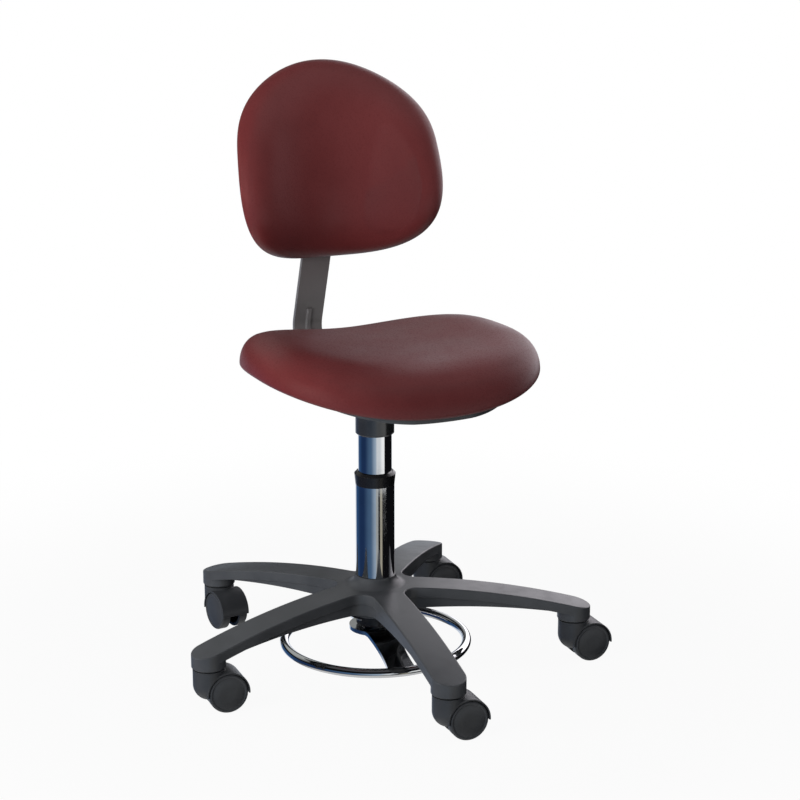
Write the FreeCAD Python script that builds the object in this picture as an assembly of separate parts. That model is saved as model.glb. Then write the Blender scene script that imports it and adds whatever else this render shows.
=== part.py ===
"""Surgeon's stool with a backrest on a five-star caster base.

Millimetres, +Z up. The origin is on the floor under the column, and the sitter faces -Y.
Each piece is written as its own solid. The seat is shown near the middle of its height travel.
"""
import FreeCAD, Part
import math
import os

V = FreeCAD.Vector

# Fits and gaps
RUN_FIT = 0.06          # radial, on shafts that turn or slide
SET_FIT = 0.02          # radial, on pieces pushed home
SOFT_GAP = 0.3          # upholstery to what carries it
MOVE_GAP = 0.4          # flat faces that pass each other

# Casters
WHEEL_DIAMETER = 50.0
WHEEL_WIDTH = 13.2
WHEEL_FACE = 4.0        # closed outer wall of a wheel
WHEEL_RIM = 4.0         # tread wall and hub wall of a wheel
WHEEL_ROUND = 3.0       # rounded outer rim
WHEEL_RIDGE = 1.5       # raised edge round the outer face
WHEEL_DOME = 0.7        # share of the face radius at the middle of its curve
WHEEL_GAP = 0.8         # wheel to hood and wheel to web
HOOD_WALL = 1.6
HOOD_DROP = 2.0         # how far the hood reaches below the axle
CASTER_TRAIL = 19.5     # axle behind the swivel axis
CASTER_WEB = 13.0       # wall between the two wheels
HOUSING_RADIUS = 20.0
NOSE_CLEARANCE = 15.0   # round bottom of the housing above the floor
CASTER_NECK = 2.7       # housing above the hood
AXLE_DIAMETER = 8.0
AXLE_BOSS = 5.0         # wall of the web round the axle
STEM_DIAMETER = 10.0
STEM_HOLD = 16.0        # stem length inside the arm
STEM_SOCKET = 22.0      # stem length inside the housing
STEM_FLANGE = 9.0       # radius
CASTER_GAP = 1.5        # groove between housing and arm
CASTER_TRAILS = (-2.0, -2.0, -2.0, -81.0, -2.0)

# Five-star base
ARM_COUNT = 5
FIRST_ARM = -93.7       # direction of the first arm, degrees from +X
ARM_REACH = 258.5       # column axis to caster axis
ARM_WIDTH = 43.0
ARM_ROOT_RADIUS = 40.0
ARM_ROOT_HEIGHT = 52.3  # heights above the underside of the arm tips
ARM_TIP_HEIGHT = 11.3
ARM_CROWN = 8.6
ARM_ROUND = 1.5
ARM_SKIN = 6.0
LIP_DEPTH = 13.0
LIP_STEP = 3.0
SKIRT_WALL = 3.5
SKIRT_ROOT = 22.3
SKIRT_TIP = 3.3
SKIRT_CROWN = 9.0
VALLEY_RADIUS = 18.0
BOSS_CHAMFER = 1.5
FLARE_HEIGHT = 13.0     # rise of the hub to the column
FLARE_WAIST = 0.3       # share of the flare's run and rise at the middle of its curve
HUB_RIM = 1.5
HUB_CORE = 11.0         # hub wall round the column
HUB_BOTTOM_HEIGHT = 15.3

# Column
COLUMN_DIAMETER = 50.0
COLUMN_WALL = 1.5
COLUMN_LENGTH = 171.0
COLLAR_HEIGHT = 17.3
COLLAR_FLARE = 1.5
COLLAR_BEVEL = 3.0
BUSH_LENGTH = 66.0
INNER_DIAMETER = 43.0
INNER_WALL = 1.5
REST_EXTENSION = 49.6   # bright tube showing between collar and seat socket
TRAVEL_DOWN = 45.0
TRAVEL_UP = 85.0
FOOT_PLATE = 4.0        # plate closing the column's foot
STOP_GAP = 6.0          # room left at each end of the travel

# Gas spring
ROD_DIAMETER = 10.0
ROD_COLLAR = 3.0        # step on the rod that rests on the bearing
ROD_TAIL = 5.5          # rod below the foot plate
CLIP_WALL = 1.2
CLIP_WIDTH = 3.0
CLIP_MOUTH = 0.8        # open side of the clip as a share of its bore
PIN_DIAMETER = 4.0
BALL_DIAMETER = 4.0
BALL_COUNT = 9
RACE_WALL = 2.0
RACE_WIDTH = 5.5
CYLINDER_DIAMETER = 28.0
CYLINDER_WALL = 1.75
GUIDE_LENGTH = 18.0
PISTON_LENGTH = 14.0
SEAL_SECTION = 3.0

# Socket-head screws, as shares of the thread diameter
HEAD_RADIUS = 0.85
HEAD_HEIGHT = 0.65
SOCKET_RADIUS = 0.38

# Foot release
CUP_RADIUS = 25.0
CUP_DEPTH = 16.0
CUP_WALL = 3.5
CUP_LIP = 4.5
CUP_FLANGE = 3.0
SCREW_DIAMETER = 4.0
SCREW_LENGTH = 12.0
SCREW_COUNT = 3
DISC_THICKNESS = 4.5
DISC_PLAY = 1.0
NECK_RADIUS = 14.0
TILT_GAP = 3.2          # cup to crossbar, so that the ring can tip
BAR_THICKNESS = 5.0     # crossbar of the foot ring
BAR_HUB_RADIUS = 34.0
BAR_HUB_SPREAD = 40.0   # half angle at which the crossbar leaves its hub
BAR_NECK = 33.0
BAR_FOOT = 36.0         # width where the crossbar meets the hoop
HOOP_RADIUS = 118.5     # middle of the hoop's tube
HOOP_TUBE = 12.0
HOOP_HEIGHT = 31.0
HOOP_TURN = -96.7
CENTRE_SCREW = 8.0

# Upholstered pads: how full the crown is and how round its rim
PAD_FULLNESS = 7.3
PAD_ROUNDNESS = 0.48    # Seat
SOCKET_DIAMETER = 49.5
SOCKET_HEIGHT = 62.1
SOCKET_HOLD = 50.0      # inner tube inside the socket
SOCKET_CHAMFER = 1.5
PLUG_LENGTH = 18.0
MOUNT_PLATE = 4.0
MOUNT_WIDTH = 130.0
MOUNT_FRONT = 75.0
MOUNT_REAR = 130.0
MOUNT_BOLT = 6.0
MOUNT_MARGIN = 14.0
PAN_THICKNESS = 7.0
PAN_INSET = 10.5        # from the front and rear edges of the cushion
PAN_SIDE_INSET = 52.0
SEAT_WIDTH = 354.0
SEAT_FRONT = 216.0      # front edge ahead of the column
SEAT_REAR = 154.0       # rear edge behind the column
SEAT_THICKNESS = 50.0
SEAT_LIFT = 27.5        # rise of the lower edge from the middle to the sides
SEAT_DISH = 2.0         # extra rise of the top towards the sides
SEAT_PITCH = 8.5        # rise of the top towards the front
SEAT_LOBE = 8.4         # extra rise of the rear corners
SEAT_TAPER = 0.046      # share by which the front is wider than the middle
SEAT_TUCK = 6.0         # how far the sides draw in to the lower edge
SEAT_WAIST = 0.16       # share of the thickness at which the sides are widest
SEAT_FOOT = 0.06        # share of the thickness at the middle of the tucked side
SEAT_SHOULDER = 0.93    # shares of the half width through which the top is drawn
SEAT_CROWN = 0.72
SEAT_SQUARENESS = 2.55
SEAT_BOARD = 12.0
SEAT_BOARD_INSET = 60.0

# Back bar and its bracket
BACK_BAR_WIDTH = 40.0
BACK_BAR_THICKNESS = 6.0
BEND_RADIUS = 33.0      # middle of the bar
BAR_REAR = 230.0        # rearmost middle of the bar
BAR_LEAN = 19.5         # degrees forward
BAR_UPPER_BEND = 60.0
BAR_UPRIGHT = 189.5     # middle of the upright part behind the column
BAR_TOP = 707.0
RIB_WIDTH = 8.0
RIB_HEIGHT = 2.5
RIB_ROUND = 2.2
RIB_TOP = 427.0
BRACKET_WALL = 3.0
BRACKET_FRONT = 70.0
DEPTH_TRAVEL = 30.0     # of the bar in its bracket, each way
STUD_DIAMETER = 8.0
KNOB_RADIUS = 19.0
KNOB_HEIGHT = 20.0
KNOB_LOBES = 6
KNOB_SCALLOP = 0.4      # radius and distance of the finger hollows as shares of the knob radius
KNOB_SCALLOP_REACH = 1.25
KNOB_CHAMFER = 2.5
KNOB_NECK = 6.0
NUT_HEIGHT = 8.0
NUT_WALL = 4.0

# Backrest
BACK_WIDTH = 273.0
BACK_ABOVE = 121.0      # pad above and below its middle
BACK_BELOW = 135.0
BACK_MIDDLE_HEIGHT = 646.0
BACK_MIDDLE_REAR = 155.6
BACK_FRONT_THICKNESS = 27.0
BACK_REAR_THICKNESS = 11.0
BACK_WRAP = 48.0        # how far the sides come forward
BACK_WRAP_TAPER = 19.8  # change of that between the middle and the ends
BACK_BELLY = 11.3       # how far the ends curve away to the rear
BACK_NARROWING = 0.069  # share of the width lost at the top
BACK_LEAN = -7.8        # degrees forward
BACK_CHEEK = 0.85       # shares of the half width through which the rim is drawn
BACK_RIM = 0.97
BACK_TOP_SQUARENESS = 2.02
BACK_FOOT_SQUARENESS = 3.24
BOARD_DEPTH = 4.0       # board behind the rear upholstery
BOARD_THICKNESS = 9.0
COVER_THICKNESS = 3.0
COVER_GAP = 0.8         # cover to upholstery
COVER_SHARE = 0.6       # share of the pad's outline that the rear cover spans
SLEEVE_WALL = 3.0
SLEEVE_HEIGHT = 60.0
SLEEVE_FLANGE = 16.0
SLEEVE_SCREW = 5.0

# Heights that follow from the sizes above
WHEEL_RADIUS = WHEEL_DIAMETER / 2
CASTER_TOP = WHEEL_DIAMETER + WHEEL_GAP + HOOD_WALL + CASTER_NECK
BASE_BOTTOM = CASTER_TOP + CASTER_GAP
HUB_BOTTOM = BASE_BOTTOM + HUB_BOTTOM_HEIGHT
COLUMN_RADIUS = COLUMN_DIAMETER / 2
COLUMN_BORE = COLUMN_RADIUS - COLUMN_WALL
COLUMN_TOP = HUB_BOTTOM + COLUMN_LENGTH
COLLAR_TOP = COLUMN_TOP + COLLAR_HEIGHT
INNER_RADIUS = INNER_DIAMETER / 2
INNER_BORE = INNER_RADIUS - INNER_WALL
SOCKET_BOTTOM = COLLAR_TOP + REST_EXTENSION
PLATE_BOTTOM = SOCKET_BOTTOM + SOCKET_HEIGHT
PLATE_TOP = PLATE_BOTTOM + MOUNT_PLATE
SEAT_BOTTOM = PLATE_TOP + PAN_THICKNESS + SOFT_GAP
INNER_TOP = SOCKET_BOTTOM + SOCKET_HOLD
FOOT_PLATE_TOP = HUB_BOTTOM + FOOT_PLATE
RACE_RADIUS = ROD_DIAMETER / 2 + RACE_WIDTH
BALL_BOTTOM = FOOT_PLATE_TOP + RACE_WALL
UPPER_RACE_BOTTOM = BALL_BOTTOM + BALL_DIAMETER
ROD_COLLAR_BOTTOM = UPPER_RACE_BOTTOM + RACE_WALL
ROD_COLLAR_TOP = ROD_COLLAR_BOTTOM + ROD_COLLAR
CYLINDER_BOTTOM = ROD_COLLAR_TOP + TRAVEL_DOWN + STOP_GAP
PISTON_BOTTOM = CYLINDER_BOTTOM + GUIDE_LENGTH + TRAVEL_UP + STOP_GAP
PISTON_TOP = PISTON_BOTTOM + PISTON_LENGTH
INNER_BOTTOM = FOOT_PLATE_TOP + TRAVEL_DOWN + STOP_GAP
CUP_BOTTOM = HUB_BOTTOM - CUP_DEPTH
DISC_BOTTOM = CUP_BOTTOM + CUP_WALL + SOFT_GAP
DISC_TOP = DISC_BOTTOM + DISC_THICKNESS
DISC_RADIUS = CUP_RADIUS - CUP_WALL - DISC_PLAY
CROSSBAR_TOP = CUP_BOTTOM - TILT_GAP
CROSSBAR_BOTTOM = CROSSBAR_TOP - BAR_THICKNESS
ROD_BOTTOM = HUB_BOTTOM - ROD_TAIL
LEG_MIDDLE = PLATE_BOTTOM - SOFT_GAP - BACK_BAR_THICKNESS / 2
BAR_LEG_FRONT = SOCKET_DIAMETER / 2 + DEPTH_TRAVEL + STOP_GAP
BRACKET_FLOOR = LEG_MIDDLE - BACK_BAR_THICKNESS / 2 - MOVE_GAP
SEAT_HALF_LENGTH = (SEAT_FRONT + SEAT_REAR) / 2
SEAT_MIDDLE = (SEAT_REAR - SEAT_FRONT) / 2
DISH_RADIUS = ((SEAT_WIDTH / 2) ** 2 + SEAT_LIFT ** 2) / (2 * SEAT_LIFT)
SLEEVE_FACE = BAR_UPRIGHT - BACK_BAR_THICKNESS / 2 - MOVE_GAP - SLEEVE_WALL
SLEEVE_BACK = BAR_UPRIGHT + BACK_BAR_THICKNESS / 2 + MOVE_GAP + SLEEVE_WALL


# Places along a pad at which its outline is drawn, as shares of the length of its full curve
STATIONS = [math.sin(math.radians(angle)) for angle in (-80, -66, -48, -25, 0, 25, 48, 66, 80)]
SEAT_CURVE = SEAT_HALF_LENGTH / STATIONS[-1]
BACK_CURVE_UP = BACK_ABOVE / STATIONS[-1]
BACK_CURVE_DOWN = BACK_BELOW / STATIONS[-1]


# Shapes used throughout

def cylinder(radius, bottom, top, x=0.0, y=0.0):
    return Part.makeCylinder(radius, top - bottom, V(x, y, bottom))


def tube(outer, inner, bottom, top):
    return cylinder(outer, bottom, top).cut(cylinder(inner, bottom - 1, top + 1))


def box(x0, x1, y0, y1, z0, z1):
    return Part.makeBox(x1 - x0, y1 - y0, z1 - z0, V(x0, y0, z0))


def arc(start, middle, end):
    return Part.Arc(start, middle, end).toShape()


def line(start, end):
    return Part.makeLine(start, end)


def turned(edges):
    """Solid turned about the Z axis from a closed outline of edges in the XZ plane."""
    return Part.Face(Part.Wire(edges)).revolve(V(0, 0, 0), V(0, 0, 1), 360)


def turned_points(points):
    """Solid turned about the Z axis from straight-sided (radius, height) points."""
    corners = [V(r, 0, z) for r, z in points]
    return Part.Face(Part.makePolygon(corners + corners[:1])).revolve(V(0, 0, 0), V(0, 0, 1), 360)


def arc_chain(points):
    """Closed wire of arcs: every second point is the middle of an arc."""
    loop = points + points[:1]
    return Part.Wire([arc(*loop[i:i + 3]) for i in range(0, len(points), 2)])


def spun(shape, degrees, x=0.0, y=0.0):
    """Copy turned about the Z axis and then set down at x, y."""
    copy = shape.copy()
    copy.rotate(V(0, 0, 0), V(0, 0, 1), degrees)
    copy.translate(V(x, y, 0))
    return copy


def socket_screw(diameter, shank_length):
    """Screw on the Z axis: its head hangs below the origin and its shank stands above."""
    head = diameter * HEAD_HEIGHT
    screw = cylinder(diameter / 2, 0, shank_length).fuse(cylinder(diameter * HEAD_RADIUS, -head, 0))
    return screw.cut(cylinder(diameter * SOCKET_RADIUS, -head - 1, -head / 2)).removeSplitter()


def arm_direction(index):
    return FIRST_ARM + index * 360.0 / ARM_COUNT


def arm_tip(index):
    angle = math.radians(arm_direction(index))
    return ARM_REACH * math.cos(angle), ARM_REACH * math.sin(angle)


# Caster pieces, made at the origin with the wheels trailing towards +X

def axle_drum(radius, y0, y1):
    return Part.makeCylinder(radius, y1 - y0, V(CASTER_TRAIL, y0, WHEEL_RADIUS), V(0, 1, 0))


WHEEL_INNER = CASTER_WEB / 2 + WHEEL_GAP
WHEEL_OUTER = WHEEL_INNER + WHEEL_WIDTH
AXLE_HALF = WHEEL_OUTER - WHEEL_FACE - WHEEL_GAP


def caster_housing():
    half_web = CASTER_WEB / 2
    hood_half = WHEEL_OUTER - WHEEL_GAP
    hood_radius = WHEEL_RADIUS + WHEEL_GAP + HOOD_WALL
    hood_end = WHEEL_RADIUS - HOOD_DROP
    reach = CASTER_TRAIL + hood_radius + 1
    hood = axle_drum(hood_radius, -hood_half, hood_half)
    hood = hood.common(box(-reach, reach, -hood_half, hood_half, hood_end, CASTER_TOP))
    nose_middle = NOSE_CLEARANCE + HOUSING_RADIUS
    barrel = cylinder(HOUSING_RADIUS, nose_middle, CASTER_TOP)
    barrel = barrel.fuse(Part.makeSphere(HOUSING_RADIUS, V(0, 0, nose_middle)))
    boss = axle_drum(AXLE_DIAMETER / 2 + AXLE_BOSS, -half_web, half_web)
    housing = hood.fuse([barrel, boss])
    pocket = WHEEL_RADIUS + WHEEL_GAP
    outside = max(hood_half, HOUSING_RADIUS) + 1
    for y0, y1 in ((half_web, outside), (-outside, -half_web)):
        housing = housing.cut(axle_drum(pocket, y0, y1))
    housing = housing.cut(axle_drum(AXLE_DIAMETER / 2 + SET_FIT, -hood_half, hood_half))
    bore = cylinder(STEM_DIAMETER / 2 + RUN_FIT, CASTER_TOP - STEM_SOCKET - MOVE_GAP, CASTER_TOP + 1)
    return housing.cut(bore).removeSplitter()


def caster_wheel(side):
    """Wheel with a closed, slightly domed outer face; side is +1 or -1 along the axle."""
    bore = AXLE_DIAMETER / 2 + RUN_FIT
    hub = AXLE_DIAMETER / 2 + WHEEL_RIM
    rim = WHEEL_RADIUS - WHEEL_RIM
    floor = WHEEL_WIDTH - WHEEL_FACE
    ridge = WHEEL_RADIUS - WHEEL_ROUND - WHEEL_RIDGE
    face = WHEEL_WIDTH - WHEEL_GAP
    turn = WHEEL_ROUND * (1 - math.sqrt(0.5))
    edges = Part.makePolygon([V(0, 0, floor), V(bore, 0, floor), V(bore, 0, 0), V(hub, 0, 0),
                              V(hub, 0, floor), V(rim, 0, floor), V(rim, 0, 0), V(WHEEL_RADIUS, 0, 0),
                              V(WHEEL_RADIUS, 0, face - WHEEL_ROUND)]).Edges
    shoulder = V(WHEEL_RADIUS - WHEEL_ROUND, 0, face)
    edges.append(arc(edges[-1].Vertexes[-1].Point, V(WHEEL_RADIUS - turn, 0, face - turn), shoulder))
    edges.append(line(shoulder, V(ridge, 0, face - WHEEL_GAP)))
    dome = [V(ridge, 0, face - WHEEL_GAP), V(ridge * WHEEL_DOME, 0, WHEEL_WIDTH - WHEEL_GAP / 2),
            V(hub, 0, WHEEL_WIDTH)]
    edges.append(arc(*dome))
    edges.append(line(dome[-1], V(0, 0, WHEEL_WIDTH)))
    edges.append(line(V(0, 0, WHEEL_WIDTH), V(0, 0, floor)))
    wheel = turned(edges)
    wheel.rotate(V(0, 0, 0), V(1, 0, 0), -90 * side)
    wheel.translate(V(CASTER_TRAIL, side * WHEEL_INNER, WHEEL_RADIUS))
    return wheel


def caster_stem():
    bottom = CASTER_TOP - STEM_SOCKET
    shank = cylinder(STEM_DIAMETER / 2, bottom, BASE_BOTTOM + STEM_HOLD)
    return shank.fuse(cylinder(STEM_FLANGE, CASTER_TOP + MOVE_GAP, BASE_BOTTOM)).removeSplitter()


# Five-star base

def star_prism(inset):
    """The five arms in plan, drawn in by inset, as a tall prism."""
    half = ARM_WIDTH / 2 - inset
    half_step = math.pi / ARM_COUNT
    valley = VALLEY_RADIUS + inset
    corner = half / math.sin(half_step)
    start = corner * math.cos(half_step) + valley / math.tan(half_step)
    floor_of_valley = corner + valley / math.sin(half_step) - valley
    edges = []
    for index in range(ARM_COUNT):
        direction = arm_direction(index)

        def place(x, y, turn=0.0):
            angle = math.radians(direction + turn)
            return V(x * math.cos(angle) - y * math.sin(angle),
                     x * math.sin(angle) + y * math.cos(angle), BASE_BOTTOM)
        edges.append(line(place(start, -half), place(ARM_REACH, -half)))
        edges.append(arc(place(ARM_REACH, -half), place(ARM_REACH + half, 0), place(ARM_REACH, half)))
        edges.append(line(place(ARM_REACH, half), place(start, half)))
        step = 360.0 / ARM_COUNT
        valley_floor = place(floor_of_valley, 0, step / 2)
        edges.append(arc(place(start, half), valley_floor, place(start, -half, step)))
    return Part.Face(Part.Wire(edges)).extrude(V(0, 0, 2 * ARM_ROOT_HEIGHT))


def under_arc(root_radius, root, tip, crown, flare=None):
    """Turned solid below an arc that falls from root to tip, with an optional flare to the column."""
    end = ARM_REACH + ARM_WIDTH
    root_point = V(root_radius, 0, BASE_BOTTOM + root)
    tip_point = V(end, 0, BASE_BOTTOM + tip)
    middle = (root_point + tip_point) * 0.5 + V(0, 0, crown)
    foot = BASE_BOTTOM - 2 * LIP_DEPTH
    edges = [line(V(0, 0, foot), V(end, 0, foot)), line(V(end, 0, foot), tip_point),
             arc(tip_point, middle, root_point)]
    last = root_point
    if flare:
        rim = V(COLUMN_RADIUS + HUB_RIM, 0, root_point.z + flare)
        waist = V(rim.x + (root_radius - rim.x) * FLARE_WAIST, 0, root_point.z + flare * FLARE_WAIST)
        edges.append(arc(root_point, waist, rim))
        last = rim
    edges.append(line(last, V(0, 0, last.z)))
    edges.append(line(V(0, 0, last.z), V(0, 0, foot)))
    return turned(edges)


def rim_edges(shape, crown):
    """Edges where the upright walls of the star meet its crown."""
    wanted = []
    for edge in shape.Edges:
        middle = edge.valueAt((edge.FirstParameter + edge.LastParameter) / 2)
        upright = abs(edge.tangentAt(edge.FirstParameter).z) > 0.9
        if middle.z > BASE_BOTTOM + 1 and not upright and math.hypot(middle.x, middle.y) > ARM_ROOT_RADIUS:
            if crown.distToShape(Part.Vertex(middle))[0] < 0.01:
                wanted.append(edge)
    return wanted


def arm_boss(index):
    x, y = arm_tip(index)
    radius = ARM_WIDTH / 2
    points = [(0, BASE_BOTTOM), (HOUSING_RADIUS, BASE_BOTTOM), (radius, BASE_BOTTOM + BOSS_CHAMFER),
              (radius, BASE_BOTTOM + ARM_ROOT_HEIGHT), (0, BASE_BOTTOM + ARM_ROOT_HEIGHT)]
    boss = turned_points(points)
    boss.translate(V(x, y, 0))
    return boss


def five_star_base():
    crown = under_arc(ARM_ROOT_RADIUS, ARM_ROOT_HEIGHT, ARM_TIP_HEIGHT, ARM_CROWN, FLARE_HEIGHT)
    skirt_floor = under_arc(ARM_ROOT_RADIUS, SKIRT_ROOT, SKIRT_TIP, SKIRT_CROWN)
    shell = star_prism(0).common(crown)
    shell = shell.makeFillet(ARM_ROUND, rim_edges(shell, crown))
    upper = shell.cut(crown.translated(V(0, 0, -LIP_DEPTH)))
    skirt = star_prism(LIP_STEP).common(crown.translated(V(0, 0, -LIP_DEPTH / 2))).cut(skirt_floor)
    core_radius = COLUMN_RADIUS + HUB_CORE
    core = cylinder(core_radius, HUB_BOTTOM, BASE_BOTTOM + 2 * ARM_ROOT_HEIGHT)
    bosses = [arm_boss(index) for index in range(ARM_COUNT)]
    base = upper.fuse([skirt, core.common(crown)] + [boss.common(shell) for boss in bosses])
    cavity = star_prism(LIP_STEP + SKIRT_WALL).common(crown.translated(V(0, 0, -ARM_SKIN)))
    base = base.cut(cavity.cut(core).cut(Part.makeCompound(bosses)))
    base = base.cut(cylinder(COLUMN_RADIUS + SET_FIT, HUB_BOTTOM - 1, BASE_BOTTOM + 3 * ARM_ROOT_HEIGHT))
    for index in range(ARM_COUNT):
        x, y = arm_tip(index)
        bore = cylinder(STEM_DIAMETER / 2 + SET_FIT, BASE_BOTTOM - 1, BASE_BOTTOM + STEM_HOLD + MOVE_GAP)
        base = base.cut(bore.translated(V(x, y, 0)))
    hole = cylinder(SCREW_DIAMETER / 2 + SET_FIT, HUB_BOTTOM - 1, HUB_BOTTOM + SCREW_LENGTH)
    for x, y in cup_screw_places():
        base = base.cut(hole.translated(V(x, y, 0)))
    return base.removeSplitter()


# Column, thrust bearing and gas spring

def outer_column_tube():
    return tube(COLUMN_RADIUS, COLUMN_BORE, HUB_BOTTOM, COLUMN_TOP)


def column_foot_plate():
    hole = ROD_DIAMETER / 2 + RUN_FIT
    return tube(COLUMN_BORE - SET_FIT, hole, HUB_BOTTOM, FOOT_PLATE_TOP)


def guide_bush():
    bore = INNER_RADIUS + RUN_FIT
    sleeve = COLUMN_BORE - SET_FIT
    rim = COLUMN_RADIUS + COLLAR_FLARE
    return turned_points([(bore, COLUMN_TOP - BUSH_LENGTH), (sleeve, COLUMN_TOP - BUSH_LENGTH),
                          (sleeve, COLUMN_TOP), (COLUMN_RADIUS, COLUMN_TOP),
                          (rim, COLLAR_TOP - COLLAR_BEVEL), (rim - COLLAR_BEVEL, COLLAR_TOP),
                          (bore, COLLAR_TOP)])


def bearing_race(bottom):
    return tube(RACE_RADIUS, ROD_DIAMETER / 2 + RUN_FIT, bottom, bottom + RACE_WALL)


def bearing_balls():
    track = ROD_DIAMETER / 2 + RACE_WIDTH / 2
    ball = Part.makeSphere(BALL_DIAMETER / 2 - SET_FIT, V(track, 0, BALL_BOTTOM + BALL_DIAMETER / 2))
    return Part.makeCompound([spun(ball, 360.0 * i / BALL_COUNT) for i in range(BALL_COUNT)])


def piston_rod():
    radius = ROD_DIAMETER / 2
    groove = radius - CLIP_WALL / 2
    clip_top = HUB_BOTTOM - MOVE_GAP
    clip_bottom = clip_top - CLIP_WALL
    rod = turned_points([(0, ROD_BOTTOM), (radius, ROD_BOTTOM), (radius, clip_bottom), (groove, clip_bottom),
                         (groove, clip_top), (radius, clip_top), (radius, ROD_COLLAR_BOTTOM),
                         (radius + ROD_COLLAR, ROD_COLLAR_BOTTOM), (radius + ROD_COLLAR, ROD_COLLAR_TOP),
                         (radius, ROD_COLLAR_TOP), (radius, PISTON_TOP), (0, PISTON_TOP)])
    return rod.cut(cylinder(PIN_DIAMETER / 2 + RUN_FIT, ROD_BOTTOM - 1, PISTON_BOTTOM))


def rod_clip():
    top = HUB_BOTTOM - MOVE_GAP
    inner = ROD_DIAMETER / 2 - CLIP_WALL / 2 + SET_FIT
    outer = ROD_DIAMETER / 2 + CLIP_WIDTH
    clip = tube(outer, inner, top - CLIP_WALL, top)
    return clip.cut(box(0, outer + 1, -inner * CLIP_MOUTH, inner * CLIP_MOUTH, top - 2 * CLIP_WALL, top + 1))


def piston():
    radius = CYLINDER_DIAMETER / 2 - CYLINDER_WALL - RUN_FIT
    body = tube(radius, ROD_DIAMETER / 2 + SET_FIT, PISTON_BOTTOM, PISTON_TOP)
    middle = (PISTON_BOTTOM + PISTON_TOP) / 2
    groove = tube(radius + 1, radius - SEAL_SECTION, middle - SEAL_SECTION / 2, middle + SEAL_SECTION / 2)
    return body.cut(groove)


def piston_seal():
    radius = CYLINDER_DIAMETER / 2 - CYLINDER_WALL - RUN_FIT
    middle = (PISTON_BOTTOM + PISTON_TOP) / 2
    half = SEAL_SECTION / 2 - SET_FIT
    return tube(radius, radius - SEAL_SECTION + SET_FIT, middle - half, middle + half)


def release_pin():
    radius = PIN_DIAMETER / 2
    bottom = DISC_TOP + SOFT_GAP
    top = PISTON_BOTTOM - STOP_GAP
    dome = Part.makeSphere(radius, V(0, 0, bottom + radius))
    return cylinder(radius, bottom + radius, top).fuse(dome).removeSplitter()


def pressure_cylinder():
    radius = CYLINDER_DIAMETER / 2
    top = INNER_TOP - SOFT_GAP
    bore = cylinder(radius - CYLINDER_WALL, CYLINDER_BOTTOM - 1, top - 2 * CYLINDER_WALL)
    return cylinder(radius, CYLINDER_BOTTOM, top).cut(bore)


def rod_guide():
    radius = CYLINDER_DIAMETER / 2 - CYLINDER_WALL - SET_FIT
    return tube(radius, ROD_DIAMETER / 2 + RUN_FIT, CYLINDER_BOTTOM, CYLINDER_BOTTOM + GUIDE_LENGTH)


def centring_ring(bottom):
    """Ring that holds the gas spring in the middle of the inner tube."""
    return tube(INNER_BORE - SET_FIT, CYLINDER_DIAMETER / 2 + SET_FIT, bottom, bottom + PLUG_LENGTH)


def inner_column_tube():
    return tube(INNER_RADIUS, INNER_BORE, INNER_BOTTOM, INNER_TOP)


# Foot release: a disc held loosely in a cup, with the foot ring screwed under it

def cup_screw_places():
    ring = (CUP_RADIUS + COLUMN_RADIUS + HUB_CORE) / 2
    angles = [math.radians(FIRST_ARM + (i + 0.5) * 360 / SCREW_COUNT) for i in range(SCREW_COUNT)]
    return [(ring * math.cos(a), ring * math.sin(a)) for a in angles]


def release_cup():
    bore = CUP_RADIUS - CUP_WALL
    flange = COLUMN_RADIUS + HUB_CORE
    mouth = bore - CUP_LIP
    ledge = HUB_BOTTOM - CUP_FLANGE
    cup = turned_points([(mouth, CUP_BOTTOM), (CUP_RADIUS, CUP_BOTTOM), (CUP_RADIUS, ledge),
                         (flange, ledge), (flange, HUB_BOTTOM), (bore, HUB_BOTTOM),
                         (bore, CUP_BOTTOM + CUP_WALL), (mouth, CUP_BOTTOM + CUP_WALL)])
    for x, y in cup_screw_places():
        cup = cup.cut(cylinder(SCREW_DIAMETER / 2 + SET_FIT, CUP_BOTTOM, HUB_BOTTOM + 1, x, y))
    return cup


def release_cup_screws():
    screw = socket_screw(SCREW_DIAMETER, CUP_FLANGE + SCREW_LENGTH - MOVE_GAP)
    seat = HUB_BOTTOM - CUP_FLANGE
    return Part.makeCompound([screw.translated(V(x, y, seat)) for x, y in cup_screw_places()])


def tilt_disc():
    disc = cylinder(DISC_RADIUS, DISC_BOTTOM, DISC_TOP)
    disc = disc.fuse(cylinder(NECK_RADIUS, CROSSBAR_TOP, DISC_BOTTOM)).removeSplitter()
    thread = cylinder(CENTRE_SCREW / 2 + SET_FIT, CROSSBAR_TOP - 1, DISC_BOTTOM)
    return disc.cut(thread)


def centre_screw():
    screw = socket_screw(CENTRE_SCREW, DISC_BOTTOM - MOVE_GAP - CROSSBAR_BOTTOM)
    return screw.translated(V(0, 0, CROSSBAR_BOTTOM))


def foot_ring_hoop():
    return Part.makeTorus(HOOP_RADIUS, HOOP_TUBE / 2, V(0, 0, HOOP_HEIGHT))


def crossbar_band():
    """Side view of the crossbar: flat at the hub and falling to the hoop on both sides."""
    fall = CROSSBAR_TOP - BAR_THICKNESS / 2 - HOOP_HEIGHT
    flat = BAR_HUB_RADIUS
    upper = [(-HOOP_RADIUS, CROSSBAR_TOP - fall), (-flat, CROSSBAR_TOP),
             (flat, CROSSBAR_TOP), (HOOP_RADIUS, CROSSBAR_TOP - fall)]
    lower = [(x, z - BAR_THICKNESS) for x, z in reversed(upper)]
    corners = [V(x, -BAR_HUB_RADIUS - 1, z) for x, z in upper + lower]
    face = Part.Face(Part.makePolygon(corners + corners[:1]))
    return face.extrude(V(0, 2 * BAR_HUB_RADIUS + 2, 0))


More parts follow.
